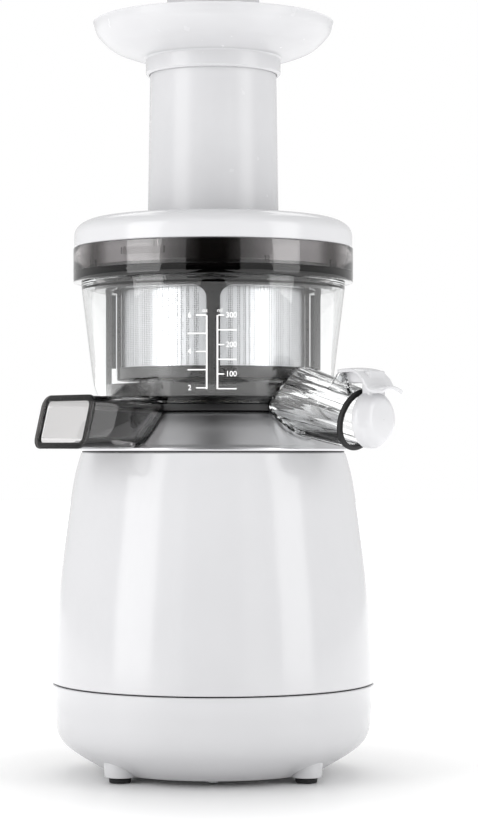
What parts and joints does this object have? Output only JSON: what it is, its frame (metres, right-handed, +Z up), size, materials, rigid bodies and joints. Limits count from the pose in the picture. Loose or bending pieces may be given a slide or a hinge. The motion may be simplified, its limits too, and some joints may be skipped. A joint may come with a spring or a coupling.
{
  "type": "vertical slow juicer",
  "caption": "Vertical slow juicer: tapered motor base, clear juicing bowl with auger and strainer, turning lid, feed tube with tray, juice spout with hinged cap and pulp duct.",
  "frame": {"origin": "drive axis at the bottom of the foot pads, at the centre of the footprint", "axes": "+Z up along the drive axis, -Y to the front, +X to the side of the juice spout"},
  "size_m": [0.1714, 0.1617, 0.399],
  "materials": {
    "white_plastic": "gloss moulded",
    "milky_plastic": "translucent moulded",
    "clear_plastic": "clear moulded",
    "smoke_plastic": "smoke clear moulded",
    "black_plastic": "moulded",
    "dark_resin": "moulded",
    "black_rubber": "matt",
    "satin_metal": "satin",
    "steel": "machined",
    "nylon": "moulded",
    "circuit_board": "coated"
  },
  "bodies": {
    "base": {"body_shell": "white_plastic", "bottom_cover": "white_plastic", "foot_pad_1": "black_rubber", "foot_pad_2": "black_rubber", "foot_pad_3": "black_rubber", "foot_pad_4": "black_rubber", "cover_screw_1": "steel", "cover_screw_2": "steel", "cover_screw_3": "steel", "cover_screw_4": "steel", "seat_collar": "satin_metal", "shaft_seal": "black_rubber", "drive_bearing": "steel", "gearbox_frame": "black_plastic", "gearbox_plate": "black_plastic", "gearbox_screw_1": "steel", "gearbox_screw_2": "steel", "gearbox_screw_3": "steel", "motor_can": "steel", "motor_end_cap": "black_plastic", "stator": "steel", "control_board": "circuit_board", "switch_bezel": "black_plastic", "cord_gland": "black_plastic"},
    "drive": {"drive_shaft": "steel", "output_gear": "nylon"},
    "compound": {"compound_gear": "nylon"},
    "rotor": {"motor_shaft": "steel", "rotor_core": "steel", "motor_fan": "black_plastic"},
    "rocker": {"rocker_switch": "black_plastic"},
    "chamber": {"bowl": "clear_plastic", "bowl_base_band": "black_plastic", "bowl_seal": "black_rubber", "rim_ring": "smoke_plastic", "juice_spout": "clear_plastic", "spout_gasket": "black_rubber", "spout_pin": "steel", "pulp_duct": "smoke_plastic", "duct_gasket": "black_rubber", "idler_pin": "steel", "strainer_frame": "dark_resin", "strainer_mesh": "steel"},
    "spout_cap": {"spout_cap": "white_plastic", "cap_seal": "milky_plastic"},
    "auger": {"auger": "black_plastic", "auger_gear": "nylon"},
    "idler": {"idler_gear": "nylon"},
    "brush": {"brush_cage": "dark_resin", "wiper_blade_1": "black_rubber", "wiper_blade_2": "black_rubber", "wiper_blade_3": "black_rubber", "wiper_blade_4": "black_rubber"},
    "bush": {"auger_bush": "nylon"},
    "lid": {"lid": "white_plastic", "feed_tube": "milky_plastic"},
    "tray": {"feed_tray": "milky_plastic"},
    "pusher": {"pusher": "milky_plastic"}
  },
  "joints": [
    {"name": "drive_spin", "type": "hinge", "parent": "base", "child": "drive", "pos_m": [0, 0, 0.135], "axis": [0, 0, 1], "continuous": true},
    {"name": "compound_spin", "type": "hinge", "parent": "base", "child": "compound", "pos_m": [0.03, 0, 0.125], "axis": [0, 0, 1], "continuous": true},
    {"name": "rotor_spin", "type": "hinge", "parent": "base", "child": "rotor", "pos_m": [0.00402, 0.015, 0.08], "axis": [0, 0, 1], "continuous": true},
    {"name": "switch_rock", "type": "hinge", "parent": "base", "child": "rocker", "pos_m": [0, 0.0766, 0.095], "axis": [1, 0, 0], "range_deg": [-8, 8]},
    {"name": "chamber_lift", "type": "slide", "parent": "base", "child": "chamber", "axis": [0, 0, 1], "range_m": [0, 0.09]},
    {"name": "cap_swing", "type": "hinge", "parent": "chamber", "child": "spout_cap", "pos_m": [0.06567, -0.05913, 0.19477], "axis": [-0.6691, -0.7431, 0], "range_deg": [-15, 60]},
    {"name": "auger_spin", "type": "hinge", "parent": "chamber", "child": "auger", "pos_m": [0, 0, 0.2], "axis": [0, 0, 1], "continuous": true},
    {"name": "idler_spin", "type": "hinge", "parent": "chamber", "child": "idler", "pos_m": [0.036, 0, 0.19], "axis": [0, 0, 1], "continuous": true},
    {"name": "brush_spin", "type": "hinge", "parent": "chamber", "child": "brush", "pos_m": [0, 0, 0.2], "axis": [0, 0, 1], "continuous": true},
    {"name": "lid_lift", "type": "slide", "parent": "chamber", "child": "bush", "axis": [0, 0, 1], "range_m": [0, 0.1]},
    {"name": "lid_turn", "type": "hinge", "parent": "bush", "child": "lid", "pos_m": [0, 0, 0.27], "axis": [0, 0, -1], "range_deg": [0, 22]},
    {"name": "tray_lift", "type": "slide", "parent": "lid", "child": "tray", "axis": [0, 0, 1], "range_m": [0, 0.06]},
    {"name": "pusher_slide", "type": "slide", "parent": "lid", "child": "pusher", "axis": [0, 0, 1], "range_m": [0, 0.12]}
  ],
  "couplings": [
    {"joint": "compound_spin", "follows": "drive_spin", "ratio": -4},
    {"joint": "rotor_spin", "follows": "drive_spin", "ratio": 16},
    {"joint": "auger_spin", "follows": "drive_spin", "ratio": 1},
    {"joint": "idler_spin", "follows": "drive_spin", "ratio": -2},
    {"joint": "brush_spin", "follows": "drive_spin", "ratio": -0.5}
  ]
}
